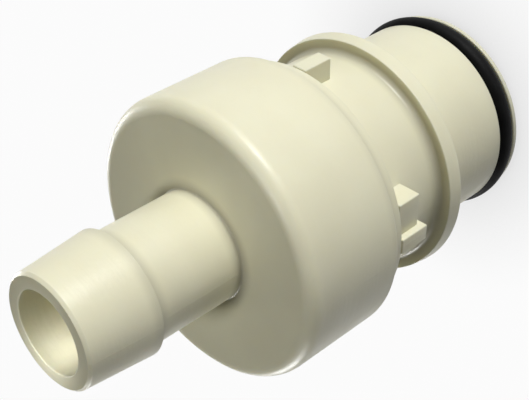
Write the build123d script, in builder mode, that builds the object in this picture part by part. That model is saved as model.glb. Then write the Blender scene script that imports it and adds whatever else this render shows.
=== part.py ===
from build123d import *
from math import sqrt
import os

# Insert half of a plastic quick disconnect coupling for a 12.7 mm hose, with a shut-off valve.
# Millimetres. +Z runs up from the nose end to the hose barb, +X points at the key block.
# The origin is the centre of the nose end face, on which the part stands.

# Nose, which enters the mating socket
nose_r = 12.4
nose_length = 15.5
lip_r = 12.6
lip_length = 0.6
mouth_r = 8.0
mouth_length = 3.0
chamber_r = 10.4

# Latch flange, the neck above it and the shoulder collar
flange_r = 15.75
flange_draft = 0.25
flange_thickness = 1.9
neck_r = 13.8
neck_length = 9.8
neck_fillet = 0.65
collar_r = 16.35
collar_length = 2.0

# Ribs round the neck and the key block beside the rib on +X
rib_count = 4
rib_r = 16.5
rib_width = 2.0
rib_length = 4.3
key_face_x = 15.66
key_side_y = 5.28
key_length = 3.5

# Spigot of the nose, which snaps into the housing
spigot_length = 7.8
spigot_bore_r = 11.4
spigot_chamfer = 0.4
bead_height = 0.4
bead_width = 1.2
bead_rise = 2.0

# Housing cup
housing_r = 17.5
housing_length = 13.8
housing_wall = 2.5
housing_roof = 3.0
housing_fillet = 1.8
rim_fillet = 0.3
cavity_fillet = 1.0

# Hose barb
hose_bore_r = 5.0
barb_neck_r = 6.88
barb_neck_length = 11.9
barb_crest_r = 7.68
barb_taper_length = 8.85
barb_tip_r = 6.95
barb_tip_chamfer = 0.35

# Rings: cord diameters, and how far the nose ring stands out of the nose
nose_seal_d = 2.4
nose_seal_proud = 0.6
housing_seal_d = 1.78
housing_seal_rise = 4.9
poppet_seal_d = 1.78
poppet_seal_rise = 1.9

# Valve
valve_travel = 5.0
poppet_recess = 1.0
poppet_land = 1.1
poppet_back_length = 3.0
core_r = 2.2
leg_width = 1.8
plate_r = 8.4
plate_thickness = 1.2
leg_chamfer = 0.6
spring_length = 18.0
spring_turns = 4
spring_wire_d = 1.1
spring_r = 7.1
spring_collar_wall = 1.0
spring_collar_depth = 1.5

# Clearances
joint_gap = 0.05      # spigot in the housing, bead in its groove
seal_gap = 0.03       # a ring to the walls that it seals
groove_play = 0.09    # a ring to each side of its groove
head_gap = 0.4        # poppet head in the mouth
cone_gap = 0.3        # poppet cone to the seat
seat_gap = 0.2        # poppet ring to the seat
flow_gap = 1.4        # round the poppet's rear land
guide_gap = 0.25      # poppet legs in the chamber
stop_gap = 0.3        # stem to the roof with the valve fully open
guide_overrun = 1.0   # chamber wall past the open plate
stem_gap = 0.4        # stem inside the spring
coil_gap = 0.5        # spring inside its collar on the roof

# Heights
seat_top = mouth_length + chamber_r - mouth_r
flange_top = nose_length + flange_thickness
collar_bottom = flange_top + neck_length
rim_z = collar_bottom + collar_length
spigot_top = rim_z + spigot_length
face_z = rim_z + housing_length
roof_z = face_z - housing_roof
crest_z = face_z + barb_neck_length
taper_end_z = crest_z + barb_taper_length
tip_z = taper_end_z + barb_tip_chamfer
plate_top = roof_z - spring_length
stem_top = roof_z - valve_travel - stop_gap
step_z = plate_top + valve_travel + guide_overrun
bead_z = rim_z + bead_rise
housing_seal_z = rim_z + housing_seal_rise

# Radii that follow from the fits
cavity_r = housing_r - housing_wall
spigot_r = cavity_r - joint_gap
wall_middle_r = (chamber_r + neck_r) / 2
nose_seal_r = nose_r + nose_seal_proud - nose_seal_d / 2
nose_groove_r = nose_seal_r - nose_seal_d / 2 - seal_gap
nose_groove_width = nose_seal_d + 2 * groove_play
nose_seal_z = lip_length + nose_groove_width / 2
housing_seal_r = cavity_r - seal_gap - housing_seal_d / 2
housing_groove_r = housing_seal_r - housing_seal_d / 2 - seal_gap
housing_groove_width = housing_seal_d + 2 * groove_play
spring_collar_r = spring_r + spring_wire_d / 2 + coil_gap
stem_r = spring_r - spring_wire_d / 2 - stem_gap
leg_r = chamber_r - guide_gap
head_r = mouth_r - head_gap
land_r = chamber_r - flow_gap

# The seat is a 45 degree cone: radius = height + seat_offset on it, and radius = height + cone_offset
# on the poppet's cone. The ring's centre lies so that the ring stops seat_gap short of the seat.
seat_offset = mouth_r - mouth_length
cone_offset = seat_offset - sqrt(2) * cone_gap
poppet_seal_z = mouth_length + poppet_seal_rise
poppet_seal_r = poppet_seal_z + seat_offset - sqrt(2) * (poppet_seal_d / 2 + seat_gap)
poppet_groove_r = poppet_seal_r - poppet_seal_d / 2 - seal_gap
poppet_groove_bottom = poppet_seal_z - poppet_seal_d / 2 - groove_play
poppet_groove_top = poppet_seal_z + poppet_seal_d / 2 + groove_play
land_top = poppet_groove_top + poppet_land

# Hose barb and housing cup, one moulding turned about Z, with the collar that centres the spring
with BuildPart() as hose_barb_housing:
    with BuildSketch(Plane.XZ):
        with BuildLine():
            shoulder = CenterArc(
                (housing_r - housing_fillet, face_z - housing_fillet), housing_fillet, 0, 90
            )
            ceiling = CenterArc(
                (cavity_r - cavity_fillet, roof_z - cavity_fillet), cavity_fillet, 0, 90
            )
            rim = CenterArc(
                (housing_r - rim_fillet, rim_z + rim_fillet), rim_fillet, 270, 90
            )
            Polyline(ceiling @ 0, (cavity_r, rim_z), rim @ 0)
            Line(rim @ 1, shoulder @ 0)
            Polyline(
                shoulder @ 1,
                (barb_neck_r, face_z),
                (barb_neck_r, crest_z),
                (barb_crest_r, crest_z),
                (barb_tip_r, taper_end_z),
                (barb_tip_r - barb_tip_chamfer, tip_z),
                (hose_bore_r, tip_z),
                (hose_bore_r, roof_z),
                (spring_collar_r, roof_z),
                (spring_collar_r, roof_z - spring_collar_depth),
                (spring_collar_r + spring_collar_wall, roof_z - spring_collar_depth),
                (spring_collar_r + spring_collar_wall, roof_z),
                ceiling @ 1,
            )
        make_face()
    revolve(axis=Axis.Z)
    # Groove in the cup's wall for the spigot's snap bead, with sides at 45 degrees
    with BuildSketch(Plane.XZ):
        with BuildLine():
            Polyline(
                (cavity_r, bead_z - bead_width / 2 - joint_gap),
                (cavity_r + bead_height, bead_z - bead_width / 2 + bead_height - joint_gap),
                (cavity_r + bead_height, bead_z + bead_width / 2 - bead_height + joint_gap),
                (cavity_r, bead_z + bead_width / 2 + joint_gap),
                close=True,
            )
        make_face()
    revolve(axis=Axis.Z, mode=Mode.SUBTRACT)

# Nose moulding: end lip, nose, latch flange, neck, shoulder collar and spigot, turned about Z
with BuildPart() as insert_nose:
    with BuildSketch(Plane.XZ):
        with BuildLine():
            root = CenterArc(
                (neck_r + neck_fillet, flange_top + neck_fillet), neck_fillet, 180, 90
            )
            Polyline(
                root @ 1,
                (flange_r - flange_draft, flange_top),
                (flange_r, nose_length),
                (nose_r, nose_length),
                (nose_r, lip_length),
                (lip_r, lip_length),
                (lip_r, 0),
                (mouth_r, 0),
                (mouth_r, mouth_length),
                (chamber_r, seat_top),
                (chamber_r, step_z),
                (spigot_bore_r, step_z + spigot_bore_r - chamber_r),
                (spigot_bore_r, spigot_top),
                (spigot_r - spigot_chamfer, spigot_top),
                (spigot_r, spigot_top - spigot_chamfer),
                (spigot_r, rim_z),
                (collar_r, rim_z),
                (collar_r, collar_bottom),
                (neck_r, collar_bottom),
                root @ 0,
            )
        make_face()
    revolve(axis=Axis.Z)
    # Snap bead round the spigot, with sides at 45 degrees
    with BuildSketch(Plane.XZ):
        with BuildLine():
            Polyline(
                (spigot_r, bead_z - bead_width / 2),
                (spigot_r + bead_height, bead_z - bead_width / 2 + bead_height),
                (spigot_r + bead_height, bead_z + bead_width / 2 - bead_height),
                (spigot_r, bead_z + bead_width / 2),
                close=True,
            )
        make_face()
    revolve(axis=Axis.Z)
    # Ring grooves in the nose and in the spigot
    with BuildSketch(Plane.XZ):
        with Locations((nose_groove_r, nose_seal_z)):
            Rectangle(lip_r - nose_groove_r, nose_groove_width, align=(Align.MIN, Align.CENTER))
        with Locations((housing_groove_r, housing_seal_z)):
            Rectangle(cavity_r - housing_groove_r, housing_groove_width, align=(Align.MIN, Align.CENTER))
    revolve(axis=Axis.Z, mode=Mode.SUBTRACT)
    # Ribs that hang from the collar along the neck
    with BuildSketch(Plane.XY.offset(collar_bottom)):
        with PolarLocations(wall_middle_r, rib_count):
            Rectangle(rib_r - wall_middle_r, rib_width, align=(Align.MIN, Align.CENTER))
    extrude(amount=-rib_length)
    # Key block with a flat face, from the rib on +X to its +Y side
    with BuildSketch(Plane.XY.offset(collar_bottom)):
        with Locations((wall_middle_r, 0)):
            Rectangle(key_face_x - wall_middle_r, key_side_y, align=(Align.MIN, Align.MIN))
    extrude(amount=-key_length)

# Black ring in the nose's groove
with BuildPart() as nose_o_ring:
    with BuildSketch(Plane.XZ):
        with Locations((nose_seal_r, nose_seal_z)):
            Circle(nose_seal_d / 2)
    revolve(axis=Axis.Z)

# Ring between the spigot and the cup's wall
with BuildPart() as housing_seal:
    with BuildSketch(Plane.XZ):
        with Locations((housing_seal_r, housing_seal_z)):
            Circle(housing_seal_d / 2)
    revolve(axis=Axis.Z)

# Poppet: head with a ring groove, core and spring plate turned about Z, then two crossed plates that
# make four guide legs below the spring plate and a narrower stem above it
with BuildPart() as valve_poppet:
    with BuildSketch(Plane.XZ):
        with BuildLine():
            Polyline(
                (0, poppet_recess),
                (head_r, poppet_recess),
                (head_r, head_r - cone_offset),
                (poppet_groove_bottom + cone_offset, poppet_groove_bottom),
                (poppet_groove_r, poppet_groove_bottom),
                (poppet_groove_r, poppet_groove_top),
                (land_r, poppet_groove_top),
                (land_r, land_top),
                (core_r, land_top + poppet_back_length),
                (core_r, plate_top - plate_thickness),
                (plate_r, plate_top - plate_thickness),
                (plate_r, plate_top),
                (core_r, plate_top),
                (core_r, stem_top),
                (0, stem_top),
                close=True,
            )
        make_face()
    revolve(axis=Axis.Z)
    for plane in (Plane.XZ, Plane.YZ):
        with BuildSketch(plane):
            with BuildLine():
                Polyline(
                    (0, land_top),
                    (leg_r - leg_chamfer, land_top),
                    (leg_r, land_top + leg_chamfer),
                    (leg_r, plate_top - leg_chamfer),
                    (leg_r - leg_chamfer, plate_top),
                    (stem_r, plate_top),
                    (stem_r, stem_top),
                    (0, stem_top),
                    close=True,
                )
            make_face()
            mirror(about=Plane.YZ)
        extrude(amount=leg_width / 2, both=True)

# Ring on the poppet's head
with BuildPart() as poppet_seal:
    with BuildSketch(Plane.XZ):
        with Locations((poppet_seal_r, poppet_seal_z)):
            Circle(poppet_seal_d / 2)
    revolve(axis=Axis.Z)

# Compression spring from the poppet's plate to the roof, its ends ground flat
with BuildPart() as valve_spring:
    with BuildLine():
        coil = Helix(
            pitch=spring_length / spring_turns,
            height=spring_length,
            radius=spring_r,
            center=(0, 0, plate_top),
        )
    with BuildSketch(Plane(origin=coil @ 0, z_dir=coil % 0)):
        Circle(spring_wire_d / 2)
    sweep(path=coil, is_frenet=True)
    split(bisect_by=Plane.XY.offset(plate_top), keep=Keep.TOP)
    split(bisect_by=Plane.XY.offset(roof_z), keep=Keep.BOTTOM)

hose_barb_housing.part.label = "hose_barb_housing"
insert_nose.part.label = "insert_nose"
nose_o_ring.part.label = "nose_o_ring"
housing_seal.part.label = "housing_seal"
valve_poppet.part.label = "valve_poppet"
poppet_seal.part.label = "poppet_seal"
valve_spring.part.label = "valve_spring"

os.makedirs("parts", exist_ok=True)
export_step(hose_barb_housing.part, "parts/hose_barb_housing.step")
export_step(insert_nose.part, "parts/insert_nose.step")
export_step(nose_o_ring.part, "parts/nose_o_ring.step")
export_step(housing_seal.part, "parts/housing_seal.step")
export_step(valve_poppet.part, "parts/valve_poppet.step")
export_step(poppet_seal.part, "parts/poppet_seal.step")
export_step(valve_spring.part, "parts/valve_spring.step")
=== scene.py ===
import logging
from dataclasses import dataclass
from enum import Enum
from functools import cached_property

import bpy
import numpy as np
from mathutils import Matrix, Vector


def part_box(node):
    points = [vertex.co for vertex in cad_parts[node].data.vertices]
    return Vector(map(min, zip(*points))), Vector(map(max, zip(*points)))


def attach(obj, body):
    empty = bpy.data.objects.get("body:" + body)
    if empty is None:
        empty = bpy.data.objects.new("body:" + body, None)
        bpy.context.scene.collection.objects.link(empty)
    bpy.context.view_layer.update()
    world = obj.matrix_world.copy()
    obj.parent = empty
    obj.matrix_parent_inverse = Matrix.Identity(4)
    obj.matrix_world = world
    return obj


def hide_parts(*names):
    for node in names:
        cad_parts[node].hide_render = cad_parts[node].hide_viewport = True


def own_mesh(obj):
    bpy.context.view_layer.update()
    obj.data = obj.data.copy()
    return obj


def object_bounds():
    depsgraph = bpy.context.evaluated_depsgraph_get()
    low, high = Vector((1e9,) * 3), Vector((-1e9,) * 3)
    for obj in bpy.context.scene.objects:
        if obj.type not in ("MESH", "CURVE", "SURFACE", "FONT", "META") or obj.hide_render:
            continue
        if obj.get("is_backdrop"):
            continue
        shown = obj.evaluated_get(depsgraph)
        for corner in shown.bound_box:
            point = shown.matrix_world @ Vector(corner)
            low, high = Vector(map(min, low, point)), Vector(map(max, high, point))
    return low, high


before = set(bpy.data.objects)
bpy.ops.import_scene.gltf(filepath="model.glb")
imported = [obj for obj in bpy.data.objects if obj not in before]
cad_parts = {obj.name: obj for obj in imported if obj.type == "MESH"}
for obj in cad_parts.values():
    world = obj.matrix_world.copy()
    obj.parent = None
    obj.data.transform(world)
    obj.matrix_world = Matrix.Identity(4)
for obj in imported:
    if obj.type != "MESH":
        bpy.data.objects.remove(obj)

log = logging.getLogger("coupling_scene")

MM = 0.001
TURN = 2.0 * np.pi
QUARTER_TURN = 0.25 * TURN

# Inputs and output of a colour Mix node, whose sockets share their names
MIX_FIRST, MIX_SECOND, MIX_RESULT = 6, 7, 2

# Red, green and blue, or a number for each of X, Y and Z
Triple = tuple[float, float, float]

# Radius and height of circles round Z, in millimetres
Corners = tuple[tuple[float, float], ...]


class Body(Enum):
    """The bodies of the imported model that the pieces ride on."""

    COUPLING = "coupling"
    POPPET = "poppet"


class Slot(Enum):
    """The record's material slots."""

    IVORY = "ivory_plastic"
    VALVE = "valve_plastic"
    RUBBER = "black_rubber"
    STEEL = "spring_steel"


def node_box_mm(node: str) -> tuple[np.ndarray, np.ndarray]:
    """Box of a CAD node at rest.

    Args:
        node: the node's name.

    Returns:
        Its lowest and highest corner, in millimetres.
    """
    low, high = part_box(node)
    return np.array(low) / MM, np.array(high) / MM


def unit(vectors: np.ndarray) -> np.ndarray:
    """Vectors scaled to length one along the last axis."""
    return vectors / np.linalg.norm(vectors, axis=-1, keepdims=True)


@dataclass
class Outline:
    """A closed outline in the plane of radius and height, with its corners rounded.

    Corners run anticlockwise, radius to the right and height up, so that the solid lies to their
    left. Guard is how far the guard points stand from each arc. Lengths are in millimetres.
    """

    corners: np.ndarray
    radii: np.ndarray
    arc_steps: int = 7
    guard: float = 0.06

    def points(self) -> np.ndarray:
        """Rounds every corner with an arc that touches both of its sides.

        For a corner with half angle h between its sides, the arc of radius R touches each side
        R / tan(h) from the corner, and its centre lies R / sin(h) along the bisector. The arc's
        points turn evenly from one touch to the other. One guard point on each side of the arc
        keeps the flat beside it flat when the surface is shaded smooth.

        Returns:
            The outline's points, one row of radius and height each, in millimetres.
        """
        corner = self.corners
        back = unit(np.roll(corner, 1, axis=0) - corner)
        ahead = unit(np.roll(corner, -1, axis=0) - corner)
        half = 0.5 * np.arccos(np.clip((back * ahead).sum(1), -1.0, 1.0))
        touch = (self.radii / np.tan(half))[:, None]
        centre = corner + unit(back + ahead) * (self.radii / np.sin(half))[:, None]
        first = corner + back * touch - centre
        last = corner + ahead * touch - centre
        sweep = (np.pi - 2.0 * half)[:, None, None]
        share = np.linspace(0.0, 1.0, self.arc_steps)[None, :, None]
        arc = (
            np.sin((1.0 - share) * sweep) * first[:, None]
            + np.sin(share * sweep) * last[:, None]
        ) / np.sin(sweep) + centre[:, None]
        before = (corner + back * (touch + self.guard))[:, None]
        after = (corner + ahead * (touch + self.guard))[:, None]
        return np.concatenate([before, arc, after], axis=1).reshape(-1, 2)


def ring_quads(rows: int, columns: int, wrap_rows: bool) -> np.ndarray:
    """Faces of a grid whose columns close into rings.

    Args:
        rows: number of rings, numbered along the outline.
        columns: points in each ring.
        wrap_rows: whether the last ring joins the first.

    Returns:
        One row of four vertex numbers for each face, facing outwards on an anticlockwise outline.
    """
    row = np.arange(rows if wrap_rows else rows - 1)[:, None]
    column = np.arange(columns)[None, :]
    next_row = (row + 1) % rows
    next_column = (column + 1) % columns
    corners = [row * columns + column, row * columns + next_column]
    corners += [next_row * columns + next_column, next_row * columns + column]
    return np.stack(np.broadcast_arrays(*corners), axis=-1).reshape(-1, 4)


def make_piece(name: str, points_mm: np.ndarray, faces: list[list[int]]) -> bpy.types.Object:
    """Makes a smooth mesh object at the origin from points in the row frame.

    Args:
        name: the piece's name.
        points_mm: its vertices, in millimetres.
        faces: its faces, as vertex numbers.

    Returns:
        The linked object.
    """
    mesh = bpy.data.meshes.new(name)
    mesh.from_pydata((points_mm * MM).tolist(), [], faces)
    mesh.shade_smooth()
    mesh.validate()
    piece = bpy.data.objects.new(name, mesh)
    bpy.context.scene.collection.objects.link(piece)
    return piece


def turned_points(outline: np.ndarray, segments: int) -> np.ndarray:
    """Turns the points of an outline about Z.

    A point of radius r and height h goes to (r cos t, r sin t, h) for each angle t of the turn.

    Args:
        outline: rows of radius and height, in millimetres.
        segments: steps in the turn.

    Returns:
        An array of outline points, steps and coordinates.
    """
    angle = np.linspace(0.0, TURN, segments, endpoint=False)
    radius, height = outline[:, 0, None], outline[:, 1, None]
    return np.stack(
        [radius * np.cos(angle), radius * np.sin(angle), height + 0.0 * angle], axis=-1
    )


def turned_ring(name: str, outline: np.ndarray, segments: int = 192) -> bpy.types.Object:
    """Turns a closed outline about Z into a hollow piece.

    Args:
        name: the piece's name.
        outline: rows of radius and height, anticlockwise, in millimetres.
        segments: steps in the turn.

    Returns:
        The piece.
    """
    points = turned_points(outline, segments)
    quads = ring_quads(len(outline), segments, wrap_rows=True)
    return make_piece(name, points.reshape(-1, 3), quads.tolist())


def capped_rings(
    name: str, rings: np.ndarray, start: np.ndarray, end: np.ndarray
) -> bpy.types.Object:
    """Closes a stack of rings with one point at each end.

    Args:
        name: the piece's name.
        rings: an array of rings, points in a ring, and coordinates, in millimetres.
        start: the point that closes the first ring.
        end: the point that closes the last ring.

    Returns:
        The piece.
    """
    count, columns = rings.shape[:2]
    points = np.concatenate([rings.reshape(-1, 3), start[None], end[None]])
    column = np.arange(columns)
    following = (column + 1) % columns
    first_pole, last_pole = count * columns, count * columns + 1
    last_ring = (count - 1) * columns
    start_fan = np.stack([following, column, np.full(columns, first_pole)], axis=-1)
    end_fan = np.stack(
        [last_ring + column, last_ring + following, np.full(columns, last_pole)], axis=-1
    )
    faces = ring_quads(count, columns, wrap_rows=False).tolist()
    return make_piece(name, points, faces + start_fan.tolist() + end_fan.tolist())


def turned_solid(name: str, outline: np.ndarray, segments: int = 160) -> bpy.types.Object:
    """Turns an outline that begins and ends on the axis about Z into a solid piece.

    Args:
        name: the piece's name.
        outline: rows of radius and height; the first and the last lie on the axis.
        segments: steps in the turn.

    Returns:
        The piece.
    """
    rings = turned_points(outline[1:-1], segments)
    start, end = np.array([[0.0, 0.0, outline[0, 1]], [0.0, 0.0, outline[-1, 1]]])
    return capped_rings(name, rings, start, end)


def soft_block(
    name: str,
    low: np.ndarray,
    high: np.ndarray,
    edge: float,
    turn: float = 0.0,
    steps: int = 6,
    least_r: float = 0.02,
) -> bpy.types.Object:
    """Makes a block with rounded edges along Z, turned about the frame's Z axis.

    Each ring is a rectangle with rounded corners. Towards each end it is drawn in by edge times
    one minus the sine of an angle, while its height moves by edge times one minus the cosine, so
    the end edges are quarter circles too. One point in the middle closes each flat end.

    Args:
        name: the piece's name.
        low: lowest corner before the turn, in millimetres.
        high: highest corner before the turn.
        edge: radius of the edges.
        turn: angle about Z, in radians.
        steps: points along each rounded edge's quarter circle.
        least_r: least radius of the corners in the end rings.

    Returns:
        The piece.
    """
    quarter = np.linspace(0.0, QUARTER_TURN, steps)
    lower_inset, lower_height = edge * (1.0 - np.sin(quarter)), edge * (1.0 - np.cos(quarter))
    inset = np.concatenate([lower_inset, lower_inset[::-1]])
    height = np.concatenate([low[2] + lower_height, high[2] - lower_height[::-1]])
    angle = (quarter[None, :] + QUARTER_TURN * np.arange(4)[:, None]).ravel()
    side = np.array([[1, 1], [-1, 1], [-1, -1], [1, -1]]).repeat(steps, axis=0)
    middle, half = 0.5 * (low + high)[:2], 0.5 * (high - low)[:2]
    radius = np.maximum(edge - inset, least_r)[:, None, None]
    direction = np.stack([np.cos(angle), np.sin(angle)], axis=-1)[None]
    flat = middle + side[None] * (half - edge) + radius * direction
    cosine, sine = np.cos(turn), np.sin(turn)
    about_z = np.array([[cosine, sine], [-sine, cosine]])
    turned = flat @ about_z
    heights = np.broadcast_to(height[:, None, None], turned.shape[:2] + (1,))
    rings = np.concatenate([turned, heights], axis=2)
    centre = middle @ about_z
    return capped_rings(name, rings, np.append(centre, low[2]), np.append(centre, high[2]))


class Shader:
    """A material's node tree round one Principled BSDF."""

    def __init__(self, name: str) -> None:
        """Starts an empty material.

        Args:
            name: the material's name.
        """
        self.material = bpy.data.materials.new(name)
        self.material.use_nodes = True
        self.tree = self.material.node_tree
        self.surface = self.tree.nodes["Principled BSDF"]

    @cached_property
    def place(self) -> bpy.types.NodeSocket:
        """The place on the surface, in Object coordinates."""
        return self.node("ShaderNodeTexCoord").outputs["Object"]

    def node(self, kind: str, **settings: object) -> bpy.types.Node:
        """Adds a node and sets its properties."""
        made = self.tree.nodes.new(kind)
        for key, value in settings.items():
            setattr(made, key, value)
        return made

    def link(self, source: bpy.types.NodeSocket, target: bpy.types.NodeSocket) -> None:
        """Joins two sockets."""
        self.tree.links.new(source, target)

    def axes(self) -> dict[str, bpy.types.NodeSocket]:
        """The place's X, Y and Z sockets."""
        split = self.node("ShaderNodeSeparateXYZ")
        self.link(self.place, split.inputs["Vector"])
        return {axis: split.outputs[axis] for axis in "XYZ"}

    def noise(
        self, size_mm: float, detail: float, stretch: Triple = (1.0, 1.0, 1.0)
    ) -> bpy.types.NodeSocket:
        """A noise pattern whose features are about size_mm wide.

        Args:
            size_mm: width of a feature, in millimetres.
            detail: number of finer octaves.
            stretch: how much the pattern is squeezed along X, Y and Z.

        Returns:
            The pattern's value socket, from 0 to 1.
        """
        mapping = self.node("ShaderNodeMapping")
        mapping.inputs["Scale"].default_value = stretch
        self.link(self.place, mapping.inputs["Vector"])
        noise = self.node("ShaderNodeTexNoise")
        noise.inputs["Scale"].default_value = 1.0 / (size_mm * MM)
        noise.inputs["Detail"].default_value = detail
        self.link(mapping.outputs["Vector"], noise.inputs["Vector"])
        return noise.outputs["Fac"]

    def mapped(
        self, source: bpy.types.NodeSocket, low: float, high: float, to_low: float, to_high: float
    ) -> bpy.types.NodeSocket:
        """A value moved smoothly from one range to another and held at its ends.

        Args:
            source: the value's socket.
            low: start of its own range.
            high: end of its own range.
            to_low: what it becomes at the start.
            to_high: what it becomes at the end.

        Returns:
            The new value's socket.
        """
        node = self.node("ShaderNodeMapRange", interpolation_type="SMOOTHSTEP")
        self.link(source, node.inputs["Value"])
        ends = {"From Min": low, "From Max": high, "To Min": to_low, "To Max": to_high}
        for name, value in ends.items():
            node.inputs[name].default_value = value
        return node.outputs["Result"]

    def math(
        self, operation: str, first: bpy.types.NodeSocket, second: object = None
    ) -> bpy.types.NodeSocket:
        """A sum, product or like operation.

        Args:
            operation: the Math node's operation.
            first: its first socket.
            second: its second socket or number, if it takes one.

        Returns:
            The result's socket.
        """
        node = self.node("ShaderNodeMath", operation=operation)
        self.link(first, node.inputs[0])
        if isinstance(second, bpy.types.NodeSocket):
            self.link(second, node.inputs[1])
        elif second is not None:
            node.inputs[1].default_value = second
        return node.outputs["Value"]

    def tint(
        self, source: bpy.types.NodeSocket, darker: Triple, paler: Triple, margin: float = 0.35
    ) -> bpy.types.NodeSocket:
        """Colours the surface between two tints by a pattern.

        Args:
            source: the pattern, from 0 to 1.
            darker: the tint where the pattern is low.
            paler: the tint where it is high.
            margin: how much of the pattern's range has the plain tint at each end.

        Returns:
            The colour socket.
        """
        ramp = self.node("ShaderNodeValToRGB")
        low, high = ramp.color_ramp.elements
        low.position, high.position = margin, 1.0 - margin
        low.color, high.color = (*darker, 1.0), (*paler, 1.0)
        self.link(source, ramp.inputs["Fac"])
        self.link(ramp.outputs["Color"], self.surface.inputs["Base Color"])
        return ramp.outputs["Color"]

    def painted_corner_shade(
        self,
        color: bpy.types.NodeSocket,
        corner_shade_tint: Triple,
        corners: Corners,
        reach_mm: float,
        share: float,
    ) -> None:
        """Mixes painted shade into the colour near the inner corners, where shade falls.

        Each corner is a circle round Z. The distance to it is the length of the step from its
        radius and height to the place's own radius and height, where the radius is the length of
        X and Y. The painted shade fades with the distance to the nearest corner.

        Args:
            color: the clean colour's socket.
            corner_shade_tint: the tint of the painted shade.
            corners: radius and height of each corner, in millimetres.
            reach_mm: how far from a corner the painted shade reaches, in millimetres.
            share: how much of the tint is painted shade right in the corner.
        """
        across = self.node("ShaderNodeVectorMath", operation="MULTIPLY")
        self.link(self.place, across.inputs[0])
        across.inputs[1].default_value = (1.0, 1.0, 0.0)
        radius = self.node("ShaderNodeVectorMath", operation="LENGTH")
        self.link(across.outputs["Vector"], radius.inputs[0])
        section = self.node("ShaderNodeCombineXYZ")
        self.link(radius.outputs["Value"], section.inputs["X"])
        self.link(self.axes()["Z"], section.inputs["Z"])
        nearest = None
        for corner_r, corner_z in corners:
            step = self.node("ShaderNodeVectorMath", operation="DISTANCE")
            self.link(section.outputs["Vector"], step.inputs[0])
            step.inputs[1].default_value = (corner_r * MM, 0.0, corner_z * MM)
            away = step.outputs["Value"]
            nearest = away if nearest is None else self.math("MINIMUM", nearest, away)
        # Painted shade: a dark tint mixed into the colour by nearness to an inner corner.
        mix = self.node("ShaderNodeMix", data_type="RGBA")
        self.link(self.mapped(nearest, 0.0, reach_mm * MM, share, 0.0), mix.inputs["Factor"])
        self.link(color, mix.inputs[MIX_FIRST])
        mix.inputs[MIX_SECOND].default_value = (*corner_shade_tint, 1.0)
        self.link(mix.outputs[MIX_RESULT], self.surface.inputs["Base Color"])

    def roughness(
        self, source: bpy.types.NodeSocket, low: float, high: float, margin: float = 0.3
    ) -> None:
        """Varies the surface's roughness between two values by a pattern.

        Args:
            source: the pattern, from 0 to 1.
            low: the roughness where the pattern is low.
            high: the roughness where it is high.
            margin: how much of the pattern's range has one plain value at each end.
        """
        rough = self.mapped(source, margin, 1.0 - margin, low, high)
        self.link(rough, self.surface.inputs["Roughness"])

    def relief(self, height: bpy.types.NodeSocket, depth_mm: float) -> None:
        """Raises the surface by a pattern.

        Args:
            height: the pattern, from 0 to 1.
            depth_mm: how high the surface rises where it is 1, in millimetres.
        """
        bump = self.node("ShaderNodeBump")
        bump.inputs["Strength"].default_value = 1.0
        bump.inputs["Distance"].default_value = depth_mm * MM
        self.link(height, bump.inputs["Height"])
        self.link(bump.outputs["Normal"], self.surface.inputs["Normal"])


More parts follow.
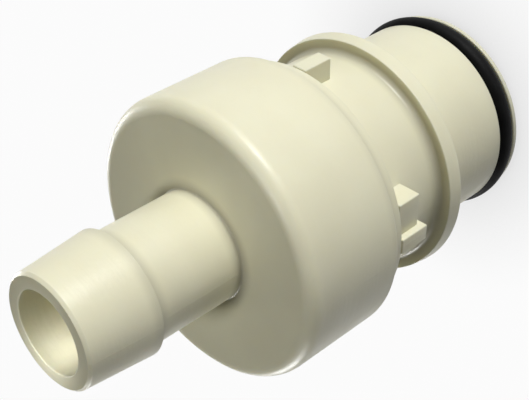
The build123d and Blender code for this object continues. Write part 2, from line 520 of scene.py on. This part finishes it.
@dataclass(frozen=True)
class MouldedPlastic:
    """Ivory injection-moulded polypropylene, satin, with a parting line and faint tool marks."""

    name: str
    slot: Slot
    corners: Corners = ()
    paler: Triple = (0.86, 0.835, 0.625)
    darker: Triple = (0.83, 0.80, 0.59)
    # Tint, reach and share of the painted shade in the inner corners.
    corner_shade_tint: Triple = (0.22, 0.20, 0.15)
    corner_shade_reach_mm: float = 1.7
    corner_shade_share: float = 0.4
    cloud_mm: float = 9.0
    sheen_cloud_mm: float = 3.6
    grain_mm: float = 0.5
    grain_share: float = 0.4
    mark_pitch_mm: float = 0.5
    mark_stretch: Triple = (0.02, 0.02, 1.0)
    mark_share: float = 0.35
    parting_half_mm: float = 0.09
    parting_share: float = 0.35
    outside_mm: tuple[float, float] = (0.5, 2.0)
    relief_mm: float = 0.04
    rough_low: float = 0.34
    rough_high: float = 0.44
    index: float = 1.49
    translucency: float = 0.25
    glow_reach: Triple = (1.0, 0.85, 0.55)
    glow_mm: float = 1.5

    def material(self) -> bpy.types.Material:
        """Builds the material.

        The colour drifts between two near tints in soft clouds, with painted shade darkening it
        near the inner corners. The relief adds a fine grain, rings round Z left by the turned
        mould, and the mould's parting line, a low ridge where Y is close to zero on surfaces that
        face away from the axis, where the normal times the place across the axis is above zero. The
        bores have none, because core pins shape them.

        Returns:
            The material.
        """
        shader = Shader(self.name)
        surface = shader.surface
        surface.inputs["IOR"].default_value = self.index
        surface.inputs["Subsurface Weight"].default_value = self.translucency
        surface.inputs["Subsurface Radius"].default_value = self.glow_reach
        surface.inputs["Subsurface Scale"].default_value = self.glow_mm * MM
        clouds = shader.noise(self.cloud_mm, detail=2.0)
        color = shader.tint(clouds, self.darker, self.paler)
        # Painted shade darkens the colour near the inner corners.
        if self.corners:
            shader.painted_corner_shade(
                color, self.corner_shade_tint, self.corners, self.corner_shade_reach_mm, self.corner_shade_share
            )
        sheen = shader.noise(self.sheen_cloud_mm, detail=4.0)
        shader.roughness(sheen, self.rough_low, self.rough_high)
        grain = shader.noise(self.grain_mm, detail=3.0)
        marks = shader.noise(self.mark_pitch_mm, detail=1.0, stretch=self.mark_stretch)
        height = shader.math(
            "ADD",
            shader.math("MULTIPLY", grain, self.grain_share),
            shader.math("MULTIPLY", marks, self.mark_share),
        )
        shader.relief(shader.math("ADD", height, self.parting_line(shader)), self.relief_mm)
        return shader.material

    def parting_line(self, shader: Shader) -> bpy.types.NodeSocket:
        """The height of the parting line, which only surfaces that face outwards have.

        Args:
            shader: the shader that the line is for.

        Returns:
            The height's socket.
        """
        axes = shader.axes()
        off_plane = shader.math("ABSOLUTE", axes["Y"])
        line = shader.mapped(off_plane, 0.0, self.parting_half_mm * MM, self.parting_share, 0.0)
        across = shader.node("ShaderNodeCombineXYZ")
        shader.link(axes["X"], across.inputs["X"])
        shader.link(axes["Y"], across.inputs["Y"])
        facing = shader.node("ShaderNodeVectorMath", operation="DOT_PRODUCT")
        shader.link(shader.node("ShaderNodeNewGeometry").outputs["Normal"], facing.inputs[0])
        shader.link(across.outputs["Vector"], facing.inputs[1])
        start, full = self.outside_mm
        outside = shader.mapped(facing.outputs["Value"], start * MM, full * MM, 0.0, 1.0)
        return shader.math("MULTIPLY", line, outside)


@dataclass(frozen=True)
class SealRubber:
    """Black moulded nitrile rubber with a dull sheen."""

    name: str = "seal_rubber"
    slot: Slot = Slot.RUBBER
    paler: Triple = (0.008, 0.008, 0.008)
    darker: Triple = (0.004, 0.004, 0.004)
    cloud_mm: float = 2.5
    grain_mm: float = 0.12
    relief_mm: float = 0.01
    rough_low: float = 0.5
    rough_high: float = 0.65
    specular: float = 0.1

    def material(self) -> bpy.types.Material:
        """Builds the material: near black in soft clouds, with a fine grain in relief and gloss."""
        shader = Shader(self.name)
        shader.surface.inputs["Specular IOR Level"].default_value = self.specular
        shader.tint(shader.noise(self.cloud_mm, detail=4.0), self.darker, self.paler)
        grain = shader.noise(self.grain_mm, detail=4.0)
        shader.roughness(grain, self.rough_low, self.rough_high)
        shader.relief(grain, self.relief_mm)
        return shader.material


@dataclass(frozen=True)
class DrawnWire:
    """Stainless spring wire with fine lines along it from the drawing die."""

    name: str = "spring_wire"
    slot: Slot = Slot.STEEL
    paler: Triple = (0.63, 0.62, 0.60)
    darker: Triple = (0.48, 0.47, 0.45)
    line_mm: float = 0.06
    line_stretch: Triple = (0.08, 0.08, 1.0)
    relief_mm: float = 0.004
    rough_low: float = 0.22
    rough_high: float = 0.36

    def material(self) -> bpy.types.Material:
        """Builds the material: metal with lines of noise, fine along Z and long across it."""
        shader = Shader(self.name)
        shader.surface.inputs["Metallic"].default_value = 1.0
        lines = shader.noise(self.line_mm, detail=2.0, stretch=self.line_stretch)
        shader.tint(lines, self.darker, self.paler)
        shader.roughness(lines, self.rough_low, self.rough_high, margin=0.2)
        shader.relief(lines, self.relief_mm)
        return shader.material


class Finishes:
    """Every finish of the coupling, each made once."""

    def __init__(self, corners: Corners) -> None:
        """Makes the materials.

        Args:
            corners: the inner corners of the ivory mouldings, where shade is painted into the
                colour.
        """
        finishes = (
            MouldedPlastic("ivory_moulding", Slot.IVORY, corners),
            MouldedPlastic("valve_moulding", Slot.VALVE, relief_mm=0.008),
            SealRubber(),
            DrawnWire(),
        )
        self._made = {finish.slot: finish.material() for finish in finishes}

    def dress(self, piece: bpy.types.Object, slot: Slot, body: Body, *nodes: str) -> None:
        """Gives a piece its finish, its body and the CAD nodes that it stands for.

        Args:
            piece: the piece.
            slot: its material slot.
            body: the body that it rides on.
            nodes: the CAD nodes that it replaces.
        """
        piece.data.materials.clear()
        piece.data.materials.append(self._made[slot])
        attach(piece, body.value)
        if nodes:
            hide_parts(*nodes)
        log.info("%s: %d faces on %s", piece.name, len(piece.data.polygons), body.value)


@dataclass
class HoseBarbHousing:
    """Hose barb and housing cup in one moulding. Sizes are in millimetres."""

    wall: float = 2.5
    roof: float = 3.0
    length: float = 13.8
    shoulder_r: float = 1.8
    rim_r: float = 0.3
    ceiling_r: float = 1.0
    bore_r: float = 5.0
    neck_r: float = 6.88
    neck_length: float = 11.9
    crest_r: float = 7.68
    tip_r: float = 6.95
    tip_chamfer: float = 0.35
    spring_collar_r: float = 8.15
    spring_collar_wall: float = 1.0
    spring_collar_depth: float = 1.5
    bead_low: float = 1.35
    bead_high: float = 2.65
    bead_depth: float = 0.4
    neck_root: float = 0.2
    crest_root: float = 0.1
    crest_edge: float = 0.12
    edge: float = 0.15
    fine_edge: float = 0.08

    def inner_corners(self) -> Corners:
        """The corners at both ends of the barb's neck."""
        face = node_box_mm("hose_barb_housing")[0][2] + self.length
        return (self.neck_r, face), (self.neck_r, face + self.neck_length)

    def outline(self) -> np.ndarray:
        """The moulding's section, from its rim round the outside to the tip and back inside."""
        low, high = node_box_mm("hose_barb_housing")
        rim, tip, outer = low[2], high[2], high[0]
        face = rim + self.length
        under = face - self.roof
        crest = face + self.neck_length
        cavity = outer - self.wall
        collar_out = self.spring_collar_r + self.spring_collar_wall
        collar_low = under - self.spring_collar_depth
        groove = cavity + self.bead_depth
        rows = [
            (cavity, rim, self.edge),
            (outer, rim, self.rim_r),
            (outer, face, self.shoulder_r),
            (self.neck_r, face, self.neck_root),
            (self.neck_r, crest, self.crest_root),
            (self.crest_r, crest, self.crest_edge),
            (self.tip_r, tip - self.tip_chamfer, self.edge),
            (self.tip_r - self.tip_chamfer, tip, self.edge),
            (self.bore_r, tip, self.edge),
            (self.bore_r, under, self.edge),
            (self.spring_collar_r, under, self.fine_edge),
            (self.spring_collar_r, collar_low, self.edge),
            (collar_out, collar_low, self.edge),
            (collar_out, under, self.fine_edge),
            (cavity, under, self.ceiling_r),
            (cavity, rim + self.bead_high, self.fine_edge),
            (groove, rim + self.bead_high - self.bead_depth, self.fine_edge),
            (groove, rim + self.bead_low + self.bead_depth, self.fine_edge),
            (cavity, rim + self.bead_low, self.fine_edge),
        ]
        table = np.array(rows)
        return Outline(table[:, :2], table[:, 2], arc_steps=9).points()

    def build(self, finishes: Finishes) -> None:
        """Makes the moulding and dresses it."""
        piece = turned_ring("hose_barb_moulding", self.outline(), segments=224)
        finishes.dress(piece, Slot.IVORY, Body.COUPLING, "hose_barb_housing")


@dataclass
class InsertNose:
    """Nose moulding: lip, nose, latch flange, neck, collar, ribs, key block and spigot, in mm."""

    nose_r: float = 12.4
    nose_length: float = 15.5
    lip_r: float = 12.6
    lip_length: float = 0.6
    groove_r: float = 10.57
    groove_width: float = 2.58
    mouth_r: float = 8.0
    mouth_length: float = 3.0
    chamber_r: float = 10.4
    flange_r: float = 15.75
    flange_draft: float = 0.25
    flange_thickness: float = 1.9
    neck_r: float = 13.8
    neck_length: float = 9.8
    neck_fillet: float = 0.65
    collar_r: float = 16.35
    collar_length: float = 2.0
    spigot_r: float = 14.95
    spigot_bore_r: float = 11.4
    spigot_chamfer: float = 0.4
    step_z: float = 28.0
    bead_low: float = 1.4
    bead_high: float = 2.6
    bead_height: float = 0.4
    seal_groove_r: float = 13.16
    seal_groove_low: float = 3.92
    seal_groove_high: float = 5.88
    rib_count: int = 4
    rib_width: float = 2.0
    rib_length: float = 4.3
    key_face_x: float = 15.66
    key_side_y: float = 5.28
    key_length: float = 3.5
    flange_edge: float = 0.2
    shoulder_edge: float = 0.12
    edge: float = 0.15
    fine_edge: float = 0.08

    def collar_bottom(self) -> float:
        """Height of the collar's lower face, from which the ribs hang."""
        return self.nose_length + self.flange_thickness + self.neck_length

    def inner_corners(self) -> Corners:
        """The corners above and below the collar, and above and below the flange."""
        collar = self.collar_bottom()
        return (
            (self.collar_r, collar + self.collar_length),
            (self.neck_r, collar),
            (self.neck_r, self.nose_length + self.flange_thickness),
            (self.nose_r, self.nose_length),
        )

    def outline(self) -> np.ndarray:
        """The moulding's section, from the mouth round the outside to the spigot and back in."""
        top = node_box_mm("insert_nose")[1][2]
        flange_top = self.nose_length + self.flange_thickness
        collar = self.collar_bottom()
        rim = collar + self.collar_length
        groove_top = self.lip_length + self.groove_width
        seat_top = self.mouth_length + self.chamber_r - self.mouth_r
        step_top = self.step_z + self.spigot_bore_r - self.chamber_r
        bead_r = self.spigot_r + self.bead_height
        rows = [
            (self.mouth_r, 0.0, self.edge),
            (self.lip_r, 0.0, self.edge),
            (self.lip_r, self.lip_length, self.edge),
            (self.groove_r, self.lip_length, self.edge),
            (self.groove_r, groove_top, self.edge),
            (self.nose_r, groove_top, self.edge),
            (self.nose_r, self.nose_length, self.edge),
            (self.flange_r, self.nose_length, self.flange_edge),
            (self.flange_r - self.flange_draft, flange_top, self.shoulder_edge),
            (self.neck_r, flange_top, self.neck_fillet),
            (self.neck_r, collar, self.edge),
            (self.collar_r, collar, self.shoulder_edge),
            (self.collar_r, rim, self.fine_edge),
            (self.spigot_r, rim, self.fine_edge),
            (self.spigot_r, rim + self.bead_low, self.fine_edge),
            (bead_r, rim + self.bead_low + self.bead_height, self.fine_edge),
            (bead_r, rim + self.bead_high - self.bead_height, self.fine_edge),
            (self.spigot_r, rim + self.bead_high, self.fine_edge),
            (self.spigot_r, rim + self.seal_groove_low, self.fine_edge),
            (self.seal_groove_r, rim + self.seal_groove_low, self.edge),
            (self.seal_groove_r, rim + self.seal_groove_high, self.edge),
            (self.spigot_r, rim + self.seal_groove_high, self.fine_edge),
            (self.spigot_r, top - self.spigot_chamfer, self.fine_edge),
            (self.spigot_r - self.spigot_chamfer, top, self.fine_edge),
            (self.spigot_bore_r, top, self.fine_edge),
            (self.spigot_bore_r, step_top, self.edge),
            (self.chamber_r, self.step_z, self.edge),
            (self.chamber_r, seat_top, self.edge),
            (self.mouth_r, self.mouth_length, self.edge),
        ]
        table = np.array(rows)
        return Outline(table[:, :2], table[:, 2], arc_steps=7, guard=0.04).points()

    def ribs(self) -> list[bpy.types.Object]:
        """Makes the ribs, evenly spaced from +X, each from inside the wall to its flat face."""
        outer = node_box_mm("insert_nose")[1][0]
        root = 0.5 * (self.chamber_r + self.neck_r)
        top = self.collar_bottom()
        low = np.array([root, -0.5 * self.rib_width, top - self.rib_length])
        high = np.array([outer, 0.5 * self.rib_width, top])
        turns = TURN * np.arange(self.rib_count) / self.rib_count
        return [
            soft_block(f"neck_rib_{number}", low, high, self.edge, turn)
            for number, turn in enumerate(turns, start=1)
        ]

    def key_block(self) -> bpy.types.Object:
        """Makes the flat-faced key block, from the middle of the rib on +X to its +Y side."""
        root = 0.5 * (self.chamber_r + self.neck_r)
        top = self.collar_bottom()
        low = np.array([root, 0.0, top - self.key_length])
        high = np.array([self.key_face_x, self.key_side_y, top])
        return soft_block("neck_key_block", low, high, self.edge)

    def build(self, finishes: Finishes) -> None:
        """Makes the moulding with its ribs and key block and dresses them."""
        piece = turned_ring("nose_moulding", self.outline())
        finishes.dress(piece, Slot.IVORY, Body.COUPLING, "insert_nose")
        for block in (*self.ribs(), self.key_block()):
            finishes.dress(block, Slot.IVORY, Body.COUPLING)


@dataclass
class SealRing:
    """A round-section ring that takes its size and place from its CAD node."""

    node: str
    body: Body
    section_steps: int = 40

    def build(self, finishes: Finishes) -> None:
        """Makes the ring and dresses it.

        The node's height is the cord's diameter, and its half width is the ring's outer radius.
        The section is a circle of that diameter about the middle of the cord, with points turning
        evenly.
        """
        low, high = node_box_mm(self.node)
        cord_r = 0.5 * (high[2] - low[2])
        centre = np.array([0.5 * (high[0] - low[0]) - cord_r, 0.5 * (low[2] + high[2])])
        angle = np.linspace(0.0, TURN, self.section_steps, endpoint=False)
        section = centre + cord_r * np.stack([np.cos(angle), np.sin(angle)], axis=-1)
        piece = turned_ring(f"{self.node}_rubber", section)
        finishes.dress(piece, Slot.RUBBER, self.body, self.node)


@dataclass
class ValvePoppet:
    """Poppet moulding: head with ring groove, core, spring plate, guide legs and stem, in mm."""

    recess: float = 1.0
    head_r: float = 7.6
    cone_start: float = 3.02
    groove_low: float = 3.92
    groove_high: float = 5.88
    groove_lip_r: float = 8.5
    groove_r: float = 7.42
    land_r: float = 9.0
    land: float = 1.1
    back_length: float = 3.0
    core_r: float = 2.2
    plate_top: float = 22.0
    plate_r: float = 8.4
    plate_thickness: float = 1.2
    leg_r: float = 10.15
    leg_width: float = 1.8
    stem_r: float = 6.15
    round_edge: float = 0.3
    back_fillet: float = 1.2
    plate_fillet: float = 0.5
    leg_edge: float = 0.4
    stem_edge: float = 0.25
    edge: float = 0.15
    fine_edge: float = 0.05
    least_edge: float = 1e-6
    axis_clear: float = 0.2

    def land_top(self) -> float:
        """Height of the head's rear edge."""
        return self.groove_high + self.land

    def outline(self) -> np.ndarray:
        """The turned section, from the face's centre round the outside to the stem's end."""
        top = node_box_mm("valve_poppet")[1][2]
        plate_low = self.plate_top - self.plate_thickness
        rows = [
            (0.0, self.recess, 0.0),
            (self.head_r, self.recess, self.round_edge),
            (self.head_r, self.cone_start, self.edge),
            (self.groove_lip_r, self.groove_low, self.fine_edge),
            (self.groove_r, self.groove_low, self.edge),
            (self.groove_r, self.groove_high, self.edge),
            (self.land_r, self.groove_high, self.edge),
            (self.land_r, self.land_top(), self.edge),
            (self.core_r, self.land_top() + self.back_length, self.back_fillet),
            (self.core_r, plate_low, self.plate_fillet),
            (self.plate_r, plate_low, self.edge),
            (self.plate_r, self.plate_top, self.edge),
            (self.core_r, self.plate_top, self.plate_fillet),
            (self.core_r, top, self.round_edge),
            (0.0, top, 0.0),
        ]
        table = np.array(rows)
        points = Outline(table[:, :2], table[:, 2] + self.least_edge, arc_steps=7).points()
        off_axis = points[points[:, 0] > self.axis_clear]
        start, end = np.array([[0.0, self.recess]]), np.array([[0.0, top]])
        return np.concatenate([start, off_axis, end])

    def legs(self) -> list[bpy.types.Object]:
        """Makes the crossed plates: two wide ones below the spring plate and two narrow above."""
        top = node_box_mm("valve_poppet")[1][2]
        half = 0.5 * self.leg_width
        parts = []
        for number, turn in enumerate((0.0, QUARTER_TURN), start=1):
            low = np.array([-self.leg_r, -half, self.land_top()])
            high = np.array([self.leg_r, half, self.plate_top])
            parts.append(soft_block(f"poppet_guide_{number}", low, high, self.leg_edge, turn))
            low = np.array([-self.stem_r, -half, self.plate_top - self.plate_thickness])
            high = np.array([self.stem_r, half, top])
            parts.append(soft_block(f"poppet_stem_{number}", low, high, self.stem_edge, turn))
        return parts

    def build(self, finishes: Finishes) -> None:
        """Makes the poppet with its legs and stem and dresses them."""
        piece = turned_solid("poppet_moulding", self.outline())
        finishes.dress(piece, Slot.VALVE, Body.POPPET, "valve_poppet")
        for part in self.legs():
            finishes.dress(part, Slot.VALVE, Body.POPPET)


@dataclass
class ValveSpring:
    """Compression spring of even turns with its ends ground flat. Sizes are in millimetres."""

    joint: str = "valve_slide"
    turns: float = 4.0
    wire_r: float = 0.55
    mean_r: float = 7.1
    travel: float = 5.0
    steps_per_turn: int = 72
    wire_steps: int = 16

    def build(self, finishes: Finishes) -> None:
        """Makes the spring and dresses it on the poppet's body, with a mesh of its own.

        The wire's centre follows radius times (cos a, sin a) and rises evenly with the angle a
        over all turns. Each ring of the wire lies in the plane of the outward direction and the
        vertical, and its heights are held between the two end planes, which grinds the ends flat.
        """
        low, high = node_box_mm("valve_spring")
        length = high[2] - low[2]
        angle = np.linspace(0.0, TURN * self.turns, int(self.turns * self.steps_per_turn) + 1)
        around = np.linspace(0.0, TURN, self.wire_steps, endpoint=False)
        outward = np.stack([np.cos(angle), np.sin(angle), 0.0 * angle], axis=-1)
        centre = self.mean_r * outward
        centre[:, 2] = low[2] + length * angle / angle[-1]
        upward = np.array([0.0, 0.0, 1.0])
        rings = centre[:, None] + self.wire_r * (
            np.cos(around)[None, :, None] * outward[:, None]
            - np.sin(around)[None, :, None] * upward
        )
        rings[:, :, 2] = np.clip(rings[:, :, 2], low[2], high[2])
        ends = rings.mean(axis=1)
        piece = capped_rings("spring_coil", rings[::-1], ends[-1], ends[0])
        finishes.dress(piece, Slot.STEEL, Body.POPPET, "valve_spring")
        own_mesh(piece)


@dataclass(frozen=True)
class Lamp:
    """A lamp that faces a point and stands in a given direction from it.

    Angles are in degrees, lengths in millimetres and the power in watts.
    """

    name: str
    azimuth: float
    elevation: float
    power: float
    distance: float = 700.0

    def light(self) -> bpy.types.Light:
        """Makes the lamp's kind of light."""
        raise NotImplementedError

    def build(self, target: Vector) -> None:
        """Makes the lamp.

        Args:
            target: the point that it faces, in metres.
        """
        turn, tilt = np.radians(self.azimuth), np.radians(self.elevation)
        outward = Vector((np.cos(turn) * np.cos(tilt), np.sin(turn) * np.cos(tilt), np.sin(tilt)))
        light = self.light()
        light.energy = self.power
        lamp = bpy.data.objects.new(self.name, light)
        lamp.location = target + outward * self.distance * MM
        lamp.rotation_euler = outward.to_track_quat("Z", "Y").to_euler()
        bpy.context.scene.collection.objects.link(lamp)


@dataclass(frozen=True)
class SoftLamp(Lamp):
    """A soft lamp with a rectangle of light."""

    width: float = 100.0
    height: float = 100.0

    def light(self) -> bpy.types.Light:
        """Makes the rectangle of light."""
        light = bpy.data.lights.new(self.name, "AREA")
        light.shape = "RECTANGLE"
        light.size = self.width * MM
        light.size_y = self.height * MM
        return light


@dataclass(frozen=True)
class NarrowLamp(Lamp):
    """A small lamp with a narrow beam that fades from its middle to its edge."""

    spread: float = 1.7
    radius: float = 3.0

    def light(self) -> bpy.types.Light:
        """Makes the beam."""
        light = bpy.data.lights.new(self.name, "SPOT")
        light.spot_size = float(np.radians(self.spread))
        light.spot_blend = 1.0
        light.shadow_soft_size = self.radius * MM
        return light


@dataclass
class Studio:
    """Pale floor, lamps, world and the camera at the photograph's angle.

    Lengths are in millimetres. Shadow_full is the openness at which the floor's shadow is deepest,
    and bore_aim is how far past the axis the bore's lamp aims.
    """

    floor_half: float = 1500.0
    floor_drop: float = 0.05
    floor_color: Triple = (0.42, 0.42, 0.42)
    floor_roughness: float = 0.9
    backdrop_share: float = 0.96
    shadow_reach: float = 16.0
    shadow_share: float = 0.24
    shadow_full: float = 0.4
    shadow_samples: int = 8
    world_strength: float = 0.04
    world_color: Triple = (1.0, 1.0, 0.98)
    soft_lamps: tuple[SoftLamp, ...] = (
        SoftLamp("main_lamp", azimuth=79.0, elevation=0.0, power=4.1, width=250.0, height=50.0),
        SoftLamp("top_lamp", azimuth=55.0, elevation=80.0, power=1.22),
        SoftLamp("side_lamp", azimuth=-92.0, elevation=3.0, power=1.8, width=250.0),
        SoftLamp("rear_lamp", azimuth=-160.0, elevation=3.0, power=1.6, width=300.0),
    )
    bore_lamp: NarrowLamp = NarrowLamp(
        "bore_lamp", azimuth=78.0, elevation=45.0, power=6.0, distance=300.0
    )
    bore_aim: float = 2.0
    camera_place: Triple = (81.13, 82.16, 113.76)
    lens: float = 81.67
    sensor: float = 36.0
    nearest_seen: float = 10.0

    def floor(self) -> None:
        """Makes the floor: four square faces just under the coupling."""
        side = np.linspace(-self.floor_half, self.floor_half, 3)
        depth = np.full((3, 3), -self.floor_drop)
        points = np.stack([*np.meshgrid(side, side, indexing="ij"), depth], axis=-1)
        corner = (3 * np.arange(2)[:, None] + np.arange(2)).ravel()
        faces = corner[:, None] + np.array([0, 3, 4, 1])
        floor = make_piece("studio_floor", points.reshape(-1, 3), faces.tolist())
        floor.data.materials.append(self.floor_material())
        floor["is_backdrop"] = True

    def floor_material(self) -> bpy.types.Material:
        """Builds the floor's material.

        To the camera and in reflections the floor glows white, apart from a soft shadow that
        follows how much of the sky the coupling hides from it close by. To other light it is a
        plain grey surface.

        Returns:
            The material.
        """
        shader = Shader("pale_floor")
        surface = shader.surface
        surface.inputs["Base Color"].default_value = (*self.floor_color, 1.0)
        surface.inputs["Roughness"].default_value = self.floor_roughness
        openness = shader.node("ShaderNodeAmbientOcclusion", samples=self.shadow_samples)
        openness.inputs["Distance"].default_value = self.shadow_reach * MM
        shadow = shader.node("ShaderNodeMapRange")
        shadow.inputs["From Min"].default_value = self.shadow_full
        shadow.inputs["To Min"].default_value = 1.0 - self.shadow_share
        shader.link(openness.outputs["AO"], shadow.inputs["Value"])
        glow = shader.node("ShaderNodeEmission")
        shader.link(shadow.outputs["Result"], glow.inputs["Strength"])
        path = shader.node("ShaderNodeLightPath").outputs
        seen = shader.math("MAXIMUM", path["Is Camera Ray"], path["Is Glossy Ray"])
        mix = shader.node("ShaderNodeMixShader")
        shader.link(shader.math("MULTIPLY", seen, self.backdrop_share), mix.inputs["Fac"])
        shader.link(surface.outputs["BSDF"], mix.inputs[1])
        shader.link(glow.outputs["Emission"], mix.inputs[2])
        output = shader.tree.nodes["Material Output"]
        shader.link(mix.outputs["Shader"], output.inputs["Surface"])
        return shader.material

    def world(self) -> None:
        """Sets an even pale world, white where the camera sees it."""
        world = bpy.data.worlds.new("studio_world")
        world.use_nodes = True
        nodes, links = world.node_tree.nodes, world.node_tree.links
        plain = nodes["Background"]
        plain.inputs["Strength"].default_value = self.world_strength
        plain.inputs["Color"].default_value = (*self.world_color, 1.0)
        white = nodes.new("ShaderNodeBackground")
        white.inputs["Color"].default_value = (1.0, 1.0, 1.0, 1.0)
        path = nodes.new("ShaderNodeLightPath")
        mix = nodes.new("ShaderNodeMixShader")
        links.new(path.outputs["Is Camera Ray"], mix.inputs["Fac"])
        links.new(plain.outputs["Background"], mix.inputs[1])
        links.new(white.outputs["Background"], mix.inputs[2])
        links.new(mix.outputs["Shader"], nodes["World Output"].inputs["Surface"])
        bpy.context.scene.world = world

    def lamps(self) -> None:
        """Sets the lamps: a low main one, one overhead, two low behind and one for the bore.

        The soft lamps face the coupling's middle. The narrow one faces a point just past the axis
        in the hose barb's mouth, so that its beam falls on the bore's wall.
        """
        low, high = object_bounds()
        target = (low + high) / 2.0
        for lamp in self.soft_lamps:
            lamp.build(target)
        turn = np.radians(self.bore_lamp.azimuth)
        tip = node_box_mm("hose_barb_housing")[1][2]
        aim = (-self.bore_aim * np.cos(turn), -self.bore_aim * np.sin(turn), tip)
        self.bore_lamp.build(Vector(aim) * MM)

    def camera(self) -> None:
        """Sets the camera at the photograph's place.

        It looks down the isometric direction, rolled so that the standing coupling lies across
        the frame from lower left to upper right.
        """
        right = Vector((1.0, 0.0, -1.0)).normalized()
        back = Vector((1.0, 1.0, 1.0)).normalized()
        up = back.cross(right)
        turn = Matrix((right, up, back)).transposed().to_4x4()
        data = bpy.data.cameras.new("studio_camera")
        data.lens = self.lens
        data.sensor_width = self.sensor
        data.clip_start = self.nearest_seen * MM
        camera = bpy.data.objects.new("studio_camera", data)
        camera.matrix_world = Matrix.Translation(Vector(self.camera_place) * MM) @ turn
        bpy.context.scene.collection.objects.link(camera)
        bpy.context.scene.camera = camera

    def build(self) -> None:
        """Builds the whole studio."""
        bpy.context.scene.view_settings.view_transform = "Standard"
        self.floor()
        self.world()
        self.lamps()
        self.camera()
        log.info("studio ready")


def main() -> None:
    """Builds the coupling piece by piece in its studio."""
    logging.basicConfig(level=logging.INFO, format="%(name)s: %(message)s")
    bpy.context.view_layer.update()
    housing, nose = HoseBarbHousing(), InsertNose()
    finishes = Finishes(housing.inner_corners() + nose.inner_corners())
    housing.build(finishes)
    nose.build(finishes)
    SealRing("nose_o_ring", Body.COUPLING).build(finishes)
    SealRing("housing_seal", Body.COUPLING).build(finishes)
    ValvePoppet().build(finishes)
    SealRing("poppet_seal", Body.POPPET).build(finishes)
    ValveSpring().build(finishes)
    Studio().build()


if __name__ == "__main__":
    main()
